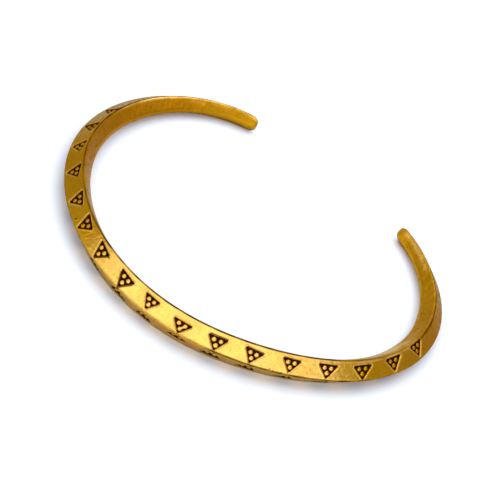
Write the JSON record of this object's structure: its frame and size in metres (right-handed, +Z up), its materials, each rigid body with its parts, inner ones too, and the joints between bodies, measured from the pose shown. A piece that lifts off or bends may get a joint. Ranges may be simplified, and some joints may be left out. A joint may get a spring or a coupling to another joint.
{
  "type": "arm ring",
  "caption": "Slim open arm ring of brass, kite-shaped in section, tapering from its back to two blunt tips, with struck triangles along its outer faces.",
  "frame": {"origin": "middle of the ring's footprint, on the plane that it rests on", "axes": "+X along the ring's width, towards its right arm; -Y towards the back of the ring, +Y towards its mouth; +Z up, across the wrist"},
  "size_m": [0.066, 0.0542, 0.006],
  "materials": {
    "brass": "hand-forged yellow brass, worn bright on the ridges and edges, with brown patina on the faces and dark patina in the struck marks"
  },
  "bodies": {
    "root": {"arm_ring": "brass"}
  },
  "joints": []
}
